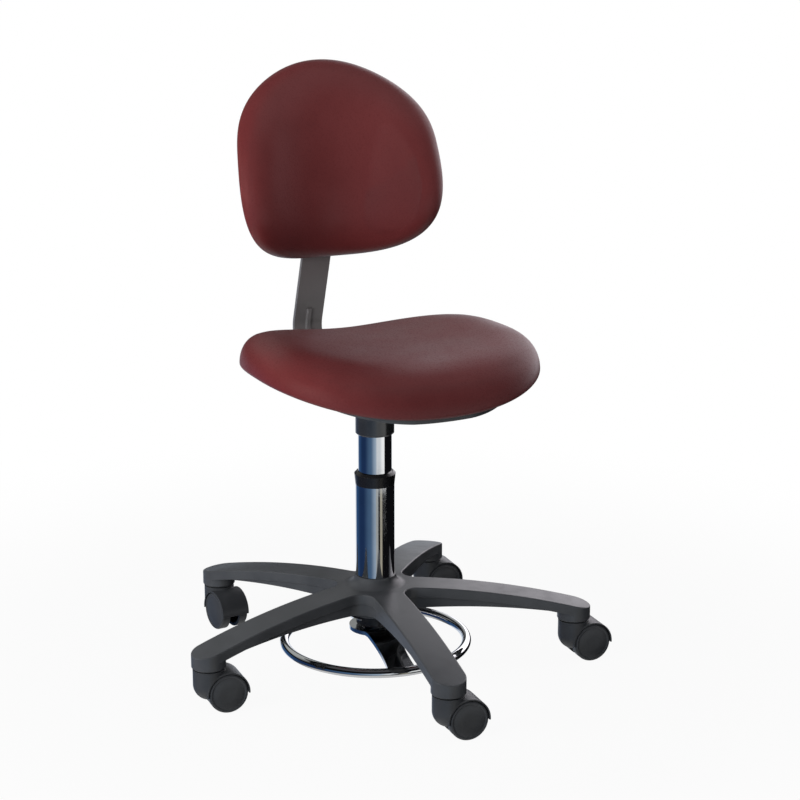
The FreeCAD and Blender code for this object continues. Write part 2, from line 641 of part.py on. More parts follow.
def crossbar_plan():
    """Plan of the crossbar: a round hub that narrows to a neck and widens again at the hoop."""
    neck = BAR_NECK / 2
    waist = (BAR_HUB_RADIUS + HOOP_RADIUS) / 2
    foot = BAR_FOOT / 2
    hub_angle = math.radians(BAR_HUB_SPREAD)
    shoulder = V(BAR_HUB_RADIUS * math.cos(hub_angle), BAR_HUB_RADIUS * math.sin(hub_angle), 0)
    edges = []
    for turn in (0, 180):
        def place(x, y):
            point = V(x, y, 0)
            return FreeCAD.Rotation(V(0, 0, 1), turn).multVec(point)
        hoop_corner = place(HOOP_RADIUS, -foot)
        edges.append(arc(place(shoulder.x, -shoulder.y), place(waist, -neck), hoop_corner))
        edges.append(line(hoop_corner, place(HOOP_RADIUS, foot)))
        edges.append(arc(place(HOOP_RADIUS, foot), place(waist, neck), place(shoulder.x, shoulder.y)))
        edges.append(arc(place(shoulder.x, shoulder.y), place(0, BAR_HUB_RADIUS),
                         place(-shoulder.x, shoulder.y)))
    face = Part.Face(Part.Wire(edges))
    return face.extrude(V(0, 0, CROSSBAR_TOP + 1))


def foot_ring_crossbar():
    bar = crossbar_band().common(crossbar_plan())
    bar = bar.cut(cylinder(CENTRE_SCREW / 2 + SET_FIT, 0, CROSSBAR_TOP + 1))
    return spun(bar, HOOP_TURN).cut(foot_ring_hoop())


# Seat

def seat_socket():
    radius = SOCKET_DIAMETER / 2
    socket = turned_points([(0, SOCKET_BOTTOM), (radius - SOCKET_CHAMFER, SOCKET_BOTTOM),
                            (radius, SOCKET_BOTTOM + SOCKET_CHAMFER), (radius, PLATE_BOTTOM),
                            (0, PLATE_BOTTOM)])
    return socket.cut(cylinder(INNER_RADIUS + SET_FIT, SOCKET_BOTTOM - 1, INNER_TOP))


def mount_bolt_places():
    x = MOUNT_WIDTH / 2 - MOUNT_MARGIN
    front = MOUNT_MARGIN - MOUNT_FRONT
    rear = SEAT_REAR - SEAT_BOARD_INSET - 1.5 * MOUNT_MARGIN
    return [(side * x, y) for side in (-1, 1) for y in (front, rear)]


def bolt_holes(bottom, top):
    radius = MOUNT_BOLT / 2 + SET_FIT
    return Part.makeCompound([cylinder(radius, bottom, top, x, y) for x, y in mount_bolt_places()])


def seat_mount_plate():
    half = MOUNT_WIDTH / 2
    plate = box(-half, half, -MOUNT_FRONT, MOUNT_REAR, PLATE_BOTTOM, PLATE_TOP)
    upright = [e for e in plate.Edges if abs(e.tangentAt(e.FirstParameter).z) > 0.9]
    return plate.makeFillet(MOUNT_MARGIN / 2, upright).cut(bolt_holes(PLATE_BOTTOM - 1, PLATE_TOP + 1))


def seat_mount_bolts():
    bolt = socket_screw(MOUNT_BOLT, SEAT_BOTTOM + SEAT_BOARD - PLATE_BOTTOM)
    return Part.makeCompound([bolt.translated(V(x, y, PLATE_BOTTOM)) for x, y in mount_bolt_places()])


def seat_half_width(station, inset=0.0):
    """Half the seat's width at a station from -1 at the rear edge to +1 at the front edge."""
    share = (1 - abs(station) ** SEAT_SQUARENESS) ** (1 / SEAT_SQUARENESS)
    return (SEAT_WIDTH / 2 * (1 + SEAT_TAPER * station) - inset) * share


def rounding(share):
    """Share of a pad's full thickness at a given share of the way from its middle to its rim."""
    return (1 - min(share, 1.0) ** PAD_FULLNESS) ** PAD_ROUNDNESS


def seat_low(x):
    """Height of the dished underside of the cushion."""
    return SEAT_BOTTOM + DISH_RADIUS - math.sqrt(DISH_RADIUS ** 2 - x ** 2)


def seat_high(x, station):
    """Height of the cushion's upper side."""
    across = abs(2 * x / SEAT_WIDTH) / (1 + SEAT_TAPER * station)
    share = (across ** SEAT_SQUARENESS + abs(station) ** SEAT_SQUARENESS) ** (1 / SEAT_SQUARENESS)
    swell = SEAT_THICKNESS + SEAT_PITCH * station + (SEAT_DISH - SEAT_LOBE * station) * across ** 2
    return seat_low(x) + swell * rounding(share)


def seat_section(station):
    """Crosswise outline of the cushion: dished below, crowned above, with drawn-in sides."""
    y = SEAT_MIDDLE - station * SEAT_CURVE
    half = seat_half_width(station)
    tuck = SEAT_TUCK * 2 * half / SEAT_WIDTH
    foot = half - tuck
    full = seat_high(0, station) - SEAT_BOTTOM
    shoulder = half * SEAT_SHOULDER
    crown = half * SEAT_CROWN
    side = [(0.0, SEAT_BOTTOM), (foot, seat_low(foot)),
            (half - tuck / 3, seat_low(half) + full * SEAT_FOOT), (half, seat_low(half) + full * SEAT_WAIST),
            (shoulder, seat_high(shoulder, station)), (crown, seat_high(crown, station)),
            (0.0, seat_high(0, station))]
    other = [(-x, z) for x, z in reversed(side[1:-1])]
    return arc_chain([V(x, y, z) for x, z in side[1:] + other + side[:1]])


def outline_prism(half_width, middle, half_length, bottom, top):
    """Upright prism with the rounded plan of the seat, given its half width at each station."""
    right = [V(half_width(s), middle - s * half_length, bottom) for s in STATIONS]
    left = [V(-p.x, p.y, p.z) for p in reversed(right)]
    sides = []
    for points in (right, left):
        curve = Part.BSplineCurve()
        curve.interpolate(points)
        sides.append(curve.toShape())
    ends = [line(right[-1], left[0]), line(left[-1], right[0])]
    face = Part.Face(Part.Wire([sides[0], ends[0], sides[1], ends[1]]))
    return face.extrude(V(0, 0, top - bottom))


def dish_slab(above, below):
    """Slab along the seat that follows its dished underside, from above it to below it."""
    reach = 2 * SEAT_HALF_LENGTH + 2
    start = V(0, SEAT_MIDDLE - SEAT_HALF_LENGTH - 1, SEAT_BOTTOM + DISH_RADIUS)
    outer = Part.makeCylinder(DISH_RADIUS + below, reach, start, V(0, 1, 0))
    inner = Part.makeCylinder(DISH_RADIUS - above, reach, start, V(0, 1, 0))
    return outer.cut(inner)


def seat_plan(inset, side_inset, bottom, top):
    shrunk = SEAT_CURVE - inset
    return outline_prism(lambda s: seat_half_width(s, side_inset), SEAT_MIDDLE, shrunk, bottom, top)


def seat_board(gap=0.0):
    inset = SEAT_BOARD_INSET - gap
    plan = seat_plan(inset, inset, SEAT_BOTTOM - 1, SEAT_BOTTOM + 2 * SEAT_THICKNESS)
    board = plan.common(dish_slab(SEAT_BOARD + gap, gap))
    return board if gap else board.cut(bolt_holes(SEAT_BOTTOM - 1, SEAT_BOTTOM + 2 * SEAT_BOARD))


def seat_cushion():
    cushion = Part.makeLoft([seat_section(s) for s in STATIONS], True, False)
    return cushion.cut(seat_board(SOFT_GAP))


def seat_pan():
    plan = seat_plan(PAN_INSET, PAN_SIDE_INSET, PLATE_TOP - PAN_THICKNESS, SEAT_BOTTOM + SEAT_THICKNESS)
    shell = plan.common(dish_slab(-SOFT_GAP, SOFT_GAP + PAN_THICKNESS))
    half = MOUNT_WIDTH / 2 + MOUNT_MARGIN
    rim = MOUNT_MARGIN / 2
    pad = box(-half, half, -MOUNT_FRONT - rim, MOUNT_REAR + rim, PLATE_TOP, SEAT_BOTTOM + SEAT_LIFT)
    hollow = dish_slab(DISH_RADIUS / 2, SOFT_GAP)
    pan = shell.fuse(pad.cut(hollow))
    return pan.cut(bolt_holes(PLATE_TOP - 1, SEAT_BOTTOM + SEAT_LIFT)).removeSplitter()


# Back bar, its bracket under the seat, and the clamp knobs

def bar_side(offset):
    """One side of the bar's path seen from the side, offset to the rear and to the outside."""
    lean = math.radians(BAR_LEAN)
    centre_y = BAR_REAR - BEND_RADIUS
    centre_z = LEG_MIDDLE + BEND_RADIUS

    def on_bend(radius, angle):
        return V(0, centre_y + radius * math.cos(angle), centre_z + radius * math.sin(angle))
    radius = BEND_RADIUS + offset
    bend = [on_bend(radius, a) for a in (-math.pi / 2, (lean - math.pi / 2) / 2, lean)]
    upper = BAR_UPPER_BEND - offset
    bend_end = BAR_UPRIGHT + BAR_UPPER_BEND
    fall = (on_bend(BEND_RADIUS, lean).y - (bend_end - BAR_UPPER_BEND * math.cos(lean))) / math.tan(lean)
    middle_z = on_bend(BEND_RADIUS, lean).z + fall + BAR_UPPER_BEND * math.sin(lean)
    top_bend = [V(0, bend_end - upper * math.cos(a), middle_z - upper * math.sin(a))
                for a in (lean, lean / 2, 0)]
    return [line(V(0, BAR_LEG_FRONT, bend[0].z), bend[0]), arc(*bend), line(bend[-1], top_bend[0]),
            arc(*top_bend), line(top_bend[-1], V(0, top_bend[-1].y, BAR_TOP))]


def bar_strip(inner, outer, width):
    """Bent strip between two offsets of the bar's path."""
    sides = [bar_side(inner), bar_side(outer)]
    starts = [side[0].Vertexes[0].Point for side in sides]
    ends = [side[-1].Vertexes[-1].Point for side in sides]
    wire = Part.Wire(sides[0] + [line(ends[0], ends[1])] + sides[1][::-1] + [line(starts[1], starts[0])])
    strip = Part.Face(wire).extrude(V(width, 0, 0))
    strip.translate(V(-width / 2, 0, 0))
    return strip


def back_bar():
    half = BACK_BAR_THICKNESS / 2
    bar = bar_strip(-half, half, BACK_BAR_WIDTH)
    rib = bar_strip(-half - RIB_HEIGHT, half, RIB_WIDTH)
    rib = rib.common(box(-RIB_WIDTH, RIB_WIDTH, BAR_REAR - BEND_RADIUS, BAR_REAR + RIB_WIDTH, 0, RIB_TOP))
    outer = []
    for edge in rib.Edges:
        middle = edge.valueAt((edge.FirstParameter + edge.LastParameter) / 2)
        if abs(middle.x) > RIB_ROUND and bar.distToShape(Part.Vertex(middle))[0] > RIB_HEIGHT / 2:
            outer.append(edge)
    return bar.fuse(rib.makeFillet(RIB_ROUND, outer)).removeSplitter()


def knob_place():
    return (BRACKET_FRONT + MOUNT_REAR) / 2


def bar_bracket():
    half = BACK_BAR_WIDTH / 2 + MOVE_GAP
    outer = half + BRACKET_WALL
    bottom = BRACKET_FLOOR - BRACKET_WALL
    bracket = box(-outer, outer, BRACKET_FRONT, MOUNT_REAR, bottom, PLATE_BOTTOM)
    channel = box(-half, half, BRACKET_FRONT - 1, MOUNT_REAR + 1, BRACKET_FLOOR, PLATE_BOTTOM + 1)
    bracket = bracket.cut(channel)
    y = knob_place()
    nut = cylinder(STUD_DIAMETER / 2 + NUT_WALL, bottom - NUT_HEIGHT, bottom, 0, y)
    bore = cylinder(STUD_DIAMETER / 2 + RUN_FIT, bottom - NUT_HEIGHT - 1, BRACKET_FLOOR + 1, 0, y)
    return bracket.fuse(nut).cut(bore).removeSplitter()


def clamp_knob(stud_length):
    """Lobed hand knob with its stud pointing up, the top of the stud at the origin."""
    knob = cylinder(KNOB_RADIUS, -stud_length - KNOB_HEIGHT, -stud_length)
    knob = knob.makeChamfer(KNOB_CHAMFER, [e for e in knob.Edges if len(e.Vertexes) == 1])
    scallop = cylinder(KNOB_RADIUS * KNOB_SCALLOP, -stud_length - KNOB_HEIGHT - 1, -stud_length + 1,
                       KNOB_RADIUS * KNOB_SCALLOP_REACH)
    for index in range(KNOB_LOBES):
        knob = knob.cut(spun(scallop, 360.0 * index / KNOB_LOBES))
    return knob.fuse(cylinder(STUD_DIAMETER / 2, -stud_length, 0)).removeSplitter()


STUD_LENGTH = BRACKET_WALL + NUT_HEIGHT + KNOB_NECK


def depth_knob():
    knob = clamp_knob(STUD_LENGTH)
    knob.translate(V(0, knob_place(), BRACKET_FLOOR))
    return knob


def height_knob():
    knob = clamp_knob(STUD_LENGTH)
    knob.rotate(V(0, 0, 0), V(1, 0, 0), 90)
    knob.translate(V(0, SLEEVE_BACK - SLEEVE_WALL, BACK_MIDDLE_HEIGHT))
    return knob


# Backrest

def back_half_width(v, share=1.0):
    """Half the pad's width at height v from its middle; share scales the whole outline."""
    reach = (BACK_CURVE_UP if v > 0 else BACK_CURVE_DOWN) * share
    power = BACK_TOP_SQUARENESS if v > 0 else BACK_FOOT_SQUARENESS
    round_share = (1 - min(abs(v) / reach, 1.0) ** power) ** (1 / power)
    return BACK_WIDTH / 2 * share * round_share * (1 - BACK_NARROWING * v / BACK_ABOVE)


def back_wrap(u, v):
    """How far the pad's middle layer lies ahead of its centre at a place u across and v up."""
    sideways = (BACK_WRAP - BACK_WRAP_TAPER * v / BACK_ABOVE) * (2 * u / BACK_WIDTH) ** 2
    return sideways - BACK_BELLY * (v / BACK_ABOVE) ** 2


def back_swell(u, v):
    reach = BACK_CURVE_UP if v > 0 else BACK_CURVE_DOWN
    power = BACK_TOP_SQUARENESS if v > 0 else BACK_FOOT_SQUARENESS
    across = abs(u) / (BACK_WIDTH / 2 * (1 - BACK_NARROWING * v / BACK_ABOVE))
    return rounding((across ** power + (abs(v) / reach) ** power) ** (1 / power))


def back_point(u, v, depth):
    """Point of the upright pad: depth is counted forward from the middle layer."""
    return V(u * (1 - 2 * depth * BACK_WRAP / (BACK_WIDTH / 2) ** 2),
             BACK_MIDDLE_REAR - back_wrap(u, v) - depth, BACK_MIDDLE_HEIGHT + v)


def front_point(u, v):
    return back_point(u, v, BACK_FRONT_THICKNESS * back_swell(u, v))


def rear_point(u, v, depth=0.0):
    return back_point(u, v, depth - BACK_REAR_THICKNESS * back_swell(u, v))


def back_section(v):
    """Level outline of the pad: hollow in front, round at the rims."""
    half = back_half_width(v)
    cheek = half * BACK_CHEEK
    rim = half * BACK_RIM
    right = [front_point(cheek, v), front_point(rim, v), back_point(half, v, 0),
             rear_point(rim, v), rear_point(cheek, v)]
    left = [V(-p.x, p.y, p.z) for p in reversed(right)]
    return arc_chain(right + [rear_point(0, v)] + left + [front_point(0, v)])


def back_band(near, far, share):
    """Curved plate along the pad's rear face, from depth far to depth near, in a scaled outline."""
    wires = []
    for station in STATIONS:
        v = station * share * (BACK_CURVE_UP if station > 0 else BACK_CURVE_DOWN)
        half = back_half_width(v, share)
        ends = [rear_point(-half, v, far), rear_point(half, v, far)]
        starts = [rear_point(half, v, near), rear_point(-half, v, near)]
        front = arc(ends[0], rear_point(0, v, far), ends[1])
        back = arc(starts[0], rear_point(0, v, near), starts[1])
        wires.append(Part.Wire([front, line(ends[1], starts[0]), back, line(starts[1], ends[0])]))
    return Part.makeLoft(wires, True, False)


def leaned(shape):
    """Copy of an upright pad piece, tipped to the pad's lean about the middle of the pad."""
    copy = shape.copy()
    copy.rotate(V(0, BACK_MIDDLE_REAR, BACK_MIDDLE_HEIGHT), V(1, 0, 0), BACK_LEAN)
    return copy


def back_stations():
    return [s * (BACK_CURVE_UP if s > 0 else BACK_CURVE_DOWN) for s in STATIONS]


def sleeve_screw_places():
    x = BACK_BAR_WIDTH / 2 + MOVE_GAP + SLEEVE_WALL + SLEEVE_FLANGE / 2
    z = SLEEVE_HEIGHT / 2 - SLEEVE_FLANGE / 2
    return [(side * x, BACK_MIDDLE_HEIGHT + end * z) for side in (-1, 1) for end in (-1, 1)]


def screw_shanks(front, radius):
    shanks = [Part.makeCylinder(radius, SLEEVE_FACE + SLEEVE_WALL - front, V(x, front, z), V(0, 1, 0))
              for x, z in sleeve_screw_places()]
    return Part.makeCompound(shanks)


SCREW_TIP = BACK_MIDDLE_REAR + BACK_REAR_THICKNESS - BOARD_DEPTH - BOARD_THICKNESS
SCREW_CLEAR = SLEEVE_SCREW / 2 + SET_FIT


def back_board_blank(gap):
    share = COVER_SHARE + 2 * gap / BACK_WIDTH
    return leaned(back_band(BOARD_DEPTH - gap, BOARD_DEPTH + BOARD_THICKNESS + gap, share))


def back_board():
    return back_board_blank(0).cut(screw_shanks(SCREW_TIP, SCREW_CLEAR))


def back_cushion():
    cushion = leaned(Part.makeLoft([back_section(v) for v in back_stations()], True, False))
    return cushion.cut(back_board_blank(SOFT_GAP)).cut(screw_shanks(SCREW_TIP, SCREW_CLEAR + SOFT_GAP))


def back_cover():
    shell = leaned(back_band(-COVER_THICKNESS - COVER_GAP, -COVER_GAP, COVER_SHARE))
    half = BACK_BAR_WIDTH / 2 + MOVE_GAP + SLEEVE_WALL + SLEEVE_FLANGE
    low = BACK_MIDDLE_HEIGHT - SLEEVE_HEIGHT / 2
    pad = box(-half, half, BACK_MIDDLE_REAR, SLEEVE_FACE, low, low + SLEEVE_HEIGHT)
    ahead = leaned(back_band(-COVER_GAP - COVER_THICKNESS / 2, BACK_MIDDLE_REAR / 2, COVER_SHARE))
    return shell.fuse(pad.cut(ahead)).cut(screw_shanks(SCREW_TIP, SCREW_CLEAR)).removeSplitter()


def back_sleeve():
    half = BACK_BAR_WIDTH / 2 + MOVE_GAP
    outer = half + SLEEVE_WALL
    low = BACK_MIDDLE_HEIGHT - SLEEVE_HEIGHT / 2
    high = low + SLEEVE_HEIGHT
    sleeve = box(-outer, outer, SLEEVE_FACE, SLEEVE_BACK, low, high)
    flange = outer + SLEEVE_FLANGE
    sleeve = sleeve.fuse(box(-flange, flange, SLEEVE_FACE, SLEEVE_FACE + SLEEVE_WALL, low, high))
    back = V(0, SLEEVE_BACK, BACK_MIDDLE_HEIGHT)
    nut = Part.makeCylinder(STUD_DIAMETER / 2 + NUT_WALL, NUT_HEIGHT, back, V(0, 1, 0))
    bore = Part.makeCylinder(STUD_DIAMETER / 2 + RUN_FIT, NUT_HEIGHT + 2 * SLEEVE_WALL,
                             V(0, SLEEVE_BACK - SLEEVE_WALL, BACK_MIDDLE_HEIGHT), V(0, 1, 0))
    sleeve = sleeve.fuse(nut).cut(bore)
    slot = box(-half, half, SLEEVE_FACE + SLEEVE_WALL, SLEEVE_BACK - SLEEVE_WALL, low - 1, high + 1)
    return sleeve.cut(slot).cut(screw_shanks(SCREW_TIP, SCREW_CLEAR)).removeSplitter()


def back_sleeve_screws():
    seat = SLEEVE_FACE + SLEEVE_WALL
    screw = socket_screw(SLEEVE_SCREW, seat - SCREW_TIP - MOVE_GAP)
    screw.rotate(V(0, 0, 0), V(1, 0, 0), 90)
    return Part.makeCompound([screw.translated(V(x, seat, z)) for x, z in sleeve_screw_places()])


# Every piece under its name

def pieces():
    parts = {
        "five_star_base": five_star_base(),
        "outer_column_tube": outer_column_tube(),
        "column_foot_plate": column_foot_plate(),
        "guide_bush": guide_bush(),
        "release_cup": release_cup(),
        "release_cup_screws": release_cup_screws(),
        "bearing_lower_race": bearing_race(FOOT_PLATE_TOP),
        "bearing_balls": bearing_balls(),
        "bearing_upper_race": bearing_race(UPPER_RACE_BOTTOM),
        "foot_ring_hoop": foot_ring_hoop(),
        "foot_ring_crossbar": foot_ring_crossbar(),
        "tilt_disc": tilt_disc(),
        "foot_ring_screw": centre_screw(),
        "piston_rod": piston_rod(),
        "piston": piston(),
        "piston_seal": piston_seal(),
        "rod_clip": rod_clip(),
        "release_pin": release_pin(),
        "pressure_cylinder": pressure_cylinder(),
        "rod_guide": rod_guide(),
        "inner_column_tube": inner_column_tube(),
        "upper_centring_ring": centring_ring(INNER_TOP - PLUG_LENGTH),
        "lower_centring_ring": centring_ring(CYLINDER_BOTTOM),
        "seat_socket": seat_socket(),
        "seat_mount_plate": seat_mount_plate(),
        "seat_mount_bolts": seat_mount_bolts(),
        "seat_pan": seat_pan(),
        "seat_board": seat_board(),
        "seat_cushion": seat_cushion(),
        "bar_bracket": bar_bracket(),
        "depth_knob": depth_knob(),
        "back_bar": back_bar(),
        "back_sleeve": back_sleeve(),
        "back_sleeve_screws": back_sleeve_screws(),
        "back_cover": back_cover(),
        "back_board": back_board(),
        "back_cushion": back_cushion(),
        "height_knob": height_knob(),
    }
    stem = caster_stem()
    parts["caster_stems"] = Part.makeCompound([spun(stem, 0, *arm_tip(i)) for i in range(ARM_COUNT)])
    axle = axle_drum(AXLE_DIAMETER / 2, -AXLE_HALF, AXLE_HALF)
    caster = {"housing": caster_housing(), "axle": axle,
              "wheel_left": caster_wheel(1), "wheel_right": caster_wheel(-1)}
    for index in range(ARM_COUNT):
        for name, shape in caster.items():
            parts["caster_%d_%s" % (index + 1, name)] = spun(shape, CASTER_TRAILS[index], *arm_tip(index))
    return parts


os.makedirs("parts", exist_ok=True)
for name, shape in pieces().items():
    shape.exportStep("parts/%s.step" % name)
    summary = (name, len(shape.Solids), shape.isValid(), shape.Volume)
    print("%-22s solids %2d  valid %s  volume %.0f" % summary)
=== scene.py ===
# %% [markdown]
# # A surgeon's stool with a backrest
# The stool arrives here as separate solids, each on the body that it moves with. This lesson gives it its looks:
# two upholstered pads in place of the plain solids, a finish for every material, a small photo studio and a camera.
# Lengths are in metres, the floor is z = 0, the column stands on the origin and the sitter faces -Y.

# %% Load the solids
import bpy
import math
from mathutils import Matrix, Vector


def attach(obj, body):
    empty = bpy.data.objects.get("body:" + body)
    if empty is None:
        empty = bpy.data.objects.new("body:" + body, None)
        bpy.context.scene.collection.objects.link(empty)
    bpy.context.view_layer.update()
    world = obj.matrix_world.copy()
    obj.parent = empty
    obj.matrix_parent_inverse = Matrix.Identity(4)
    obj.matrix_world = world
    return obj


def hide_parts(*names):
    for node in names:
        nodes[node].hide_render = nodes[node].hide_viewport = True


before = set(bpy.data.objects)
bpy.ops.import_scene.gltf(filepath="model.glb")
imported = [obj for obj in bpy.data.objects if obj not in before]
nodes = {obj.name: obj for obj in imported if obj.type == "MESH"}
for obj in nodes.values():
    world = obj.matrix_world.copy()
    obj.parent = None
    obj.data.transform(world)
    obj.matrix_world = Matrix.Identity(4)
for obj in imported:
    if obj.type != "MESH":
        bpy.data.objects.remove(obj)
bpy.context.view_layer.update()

# %% [markdown]
# ## Writing shaders as sums
# A finish on a real object is a few layers on top of each other: a colour, a grain, some dust, a rubbed edge. Those
# layers are easier to read as arithmetic than as boxes and lines, so one small class wraps a socket. A sum or a
# product of two such wires adds a Math node, and its method `add` makes every other node.

# %% The wire class
class Wire:
    """The output of a shader node."""

    def __init__(self, tree, socket):
        self.tree = tree
        self.socket = socket

    def add(self, kind, settings, inputs, output=0):
        """Adds a node to the same tree and returns one of its outputs."""
        node = self.tree.nodes.new(kind)
        for name, value in settings.items():
            setattr(node, name, value)
        for key, value in inputs.items():
            if isinstance(value, Wire):
                self.tree.links.new(value.socket, node.inputs[key])
            else:
                node.inputs[key].default_value = value
        return Wire(self.tree, node.outputs[output])

    def math(self, operation, first, second):
        return self.add("ShaderNodeMath", {"operation": operation}, {0: first, 1: second})

    def __add__(self, other):
        return self.math("ADD", self, other)

    def __sub__(self, other):
        return self.math("SUBTRACT", self, other)

    def __rsub__(self, other):
        return self.math("SUBTRACT", other, self)

    def __mul__(self, other):
        return self.math("MULTIPLY", self, other)

    __radd__ = __add__
    __rmul__ = __mul__


# %% [markdown]
# A finish starts from the place on the object, so that a pattern keeps its real size and stays on its piece when
# the piece moves. Four helpers cover most layers: cloudy noise, a soft step from 0 to 1, a mix of two colours, and
# a bump that turns heights into shading.

# %% Layers of a finish
def new_finish(name):
    """A new material and the place on the object that its layers start from."""
    material = bpy.data.materials.new(name)
    material.use_nodes = True
    tree = material.node_tree
    place = tree.nodes.new("ShaderNodeTexCoord").outputs["Object"]
    return material, Wire(tree, place)


def noise(place, scale, detail=2.0):
    return place.add("ShaderNodeTexNoise", {}, {"Vector": place, "Scale": scale, "Detail": detail})


def step(value, low, high):
    limits = {"Value": value, "From Min": low, "From Max": high}
    return value.add("ShaderNodeMapRange", {"interpolation_type": "SMOOTHSTEP"}, limits)


def mix(share, first, second):
    return share.add("ShaderNodeMix", {"data_type": "RGBA"}, {0: share, 6: first, 7: second}, 2)


def bump(height, strength, distance, normal=None):
    inputs = {"Height": height, "Strength": strength, "Distance": distance}
    if normal:
        inputs["Normal"] = normal
    return height.add("ShaderNodeBump", {}, inputs)


def paint(material, inputs):
    """Sets the sockets of a material's main shader to values or wires."""
    tree = material.node_tree
    shader = tree.nodes["Principled BSDF"]
    for name, value in inputs.items():
        if isinstance(value, Wire):
            tree.links.new(value.socket, shader.inputs[name])
        else:
            shader.inputs[name].default_value = value
    print(material.name, "has", len(tree.nodes), "nodes")


# %% [markdown]
# ## Burgundy vinyl
# The pads are covered in embossed vinyl. A roller presses a pebble grain of about one and a half millimetres into
# the sheet, and the skin has a broad, barely visible unevenness from the foam under it. The creases between the
# pebbles are painted darker, as painted shade. Smooth Voronoi cells make the pebbles, and their distance field is
# both the bump and the mask for the painted shade in the creases.

# %% Vinyl
GRAIN_SCALE = 620.0
GRAIN_DEPTH = 0.0005
VINYL = (0.108, 0.0172, 0.0178, 1.0)
VINYL_CREASE_SHADE = (0.062, 0.011, 0.012, 1.0)
VINYL_RUBBED = (0.122, 0.0210, 0.0218, 1.0)

vinyl, place = new_finish("burgundy_vinyl_cover")
wander = noise(place, 140.0)
pebble = place.add("ShaderNodeTexVoronoi", {"feature": "SMOOTH_F1"}, {"Vector": place, "Scale": GRAIN_SCALE})
crease_and_shade = step(pebble, 0.35, 0.75)
broad = step(noise(place, 14.0, 3.0), 0.3, 0.7)
colour = mix(broad, VINYL, VINYL_RUBBED)
# painted shade: the creases between the pebbles are darkened in the colour
colour = mix(crease_and_shade * 0.25, colour, VINYL_CREASE_SHADE)
height = wander * 0.5 - pebble
paint(vinyl, {
    "Base Color": colour,
    "Roughness": 0.40 + 0.08 * broad + 0.12 * crease_and_shade,
    "Normal": bump(height, 0.22, GRAIN_DEPTH),
    "Specular IOR Level": 0.5,
})

# %% [markdown]
# ## Moulded plastics
# The base, the casters and the collar are moulded. Spark erosion leaves the mould with a fine matt grain, so the
# parts scatter light in a wide soft sheen. Edges come out slightly rounded, and they are painted paler as a painted
# edge highlight. The Bevel node rounds the normal near an edge, and where that rounded normal differs from the
# plain
# one there is an edge: the difference is the mask for the painted highlight. Dust settles on faces that look up.
# The socket under the seat is enamelled, which is the same with a harder shine.

# %% A moulded plastic
EDGE_RADIUS = 0.0012
SPARK_DEPTH = 0.0002


def edges(place, radius):
    """The rounded normal and a mask that is 1 on the edges."""
    rounded = place.add("ShaderNodeBevel", {"samples": 4}, {"Radius": radius})
    plain = place.add("ShaderNodeNewGeometry", {}, {}, "Normal")
    alike = place.add("ShaderNodeVectorMath", {"operation": "DOT_PRODUCT"}, {0: rounded, 1: plain}, "Value")
    return rounded, step(1.0 - alike, 0.01, 0.15)


def facing_up(place):
    plain = place.add("ShaderNodeNewGeometry", {}, {}, "Normal")
    height = place.add("ShaderNodeSeparateXYZ", {}, {0: plain}, "Z")
    return step(height, 0.5, 1.0)


def moulded(name, dark, pale, rough, grain):
    """A plastic between two colours, with a matt grain, painted edge highlights and some dust."""
    material, place = new_finish(name)
    rounded, edge_highlight = edges(place, EDGE_RADIUS)
    cloud = step(noise(place, 22.0, 4.0), 0.3, 0.7)
    dust = facing_up(place) * step(noise(place, 60.0, 5.0), 0.35, 0.8)
    spark = noise(place, grain, 3.0)
    paint(material, {
        # painted highlight: the edges are made paler in the colour
        "Base Color": mix(0.35 * cloud + 0.25 * dust + 0.4 * edge_highlight, dark, pale),
        "Roughness": rough + 0.07 * cloud + 0.08 * dust - 0.06 * edge_highlight,
        "Normal": bump(spark, 0.25, SPARK_DEPTH, rounded),
    })
    return material


base_plastic = moulded("grey_moulded_base", (0.047, 0.050, 0.055, 1), (0.086, 0.090, 0.097, 1), 0.31, 1500.0)
caster_plastic = moulded("caster_nylon", (0.032, 0.034, 0.038, 1), (0.064, 0.068, 0.074, 1), 0.34, 1800.0)
black_plastic = moulded("black_moulded", (0.006, 0.006, 0.007, 1), (0.018, 0.018, 0.020, 1), 0.20, 1800.0)
socket_enamel = moulded("socket_enamel", (0.020, 0.021, 0.023, 1), (0.040, 0.041, 0.044, 1), 0.14, 1800.0)
paint(socket_enamel, {"Specular IOR Level": 1.0})
inner_plastic = moulded("natural_nylon", (0.52, 0.50, 0.44, 1), (0.66, 0.64, 0.58, 1), 0.45, 1500.0)
rubber = moulded("seal_rubber", (0.010, 0.010, 0.010, 1), (0.022, 0.022, 0.022, 1), 0.62, 1200.0)

# %% [markdown]
# ## Chrome, steel and paint
# The tubes and the foot ring are polished and chromed, so their look is that of the room around them. Only two
# things tell that the plating is real: wiped smudges that dull it here and there, and the hairlines of the
# polishing belt. Both go into the roughness. The bar is powder painted, which leaves a faint orange peel, and its
# edges are painted paler as a painted highlight. Screws and springs are zinc plated or turned and stay rougher.

# %% Metals and paint
HAIRLINE_DEPTH = 0.0001
PEEL_DEPTH = 0.0003
BAR_EDGE_RADIUS = 0.0010


def metal(name, dark, pale, rough, smear, hairline):
    """A metal with smudges and with hairlines that run along the given stretch of the pattern."""
    material, place = new_finish(name)
    smudge = step(noise(place, 26.0, 4.0), 0.42, 0.72)
    along = place.add("ShaderNodeVectorMath", {"operation": "MULTIPLY"}, {0: place, 1: hairline})
    line = noise(along, 1.0, 3.0)
    paint(material, {
        "Base Color": mix(smudge, pale, dark),
        "Metallic": 1.0,
        "Roughness": rough + smear * smudge + 0.5 * smear * line,
        "Normal": bump(line, 0.05, HAIRLINE_DEPTH),
    })
    return material


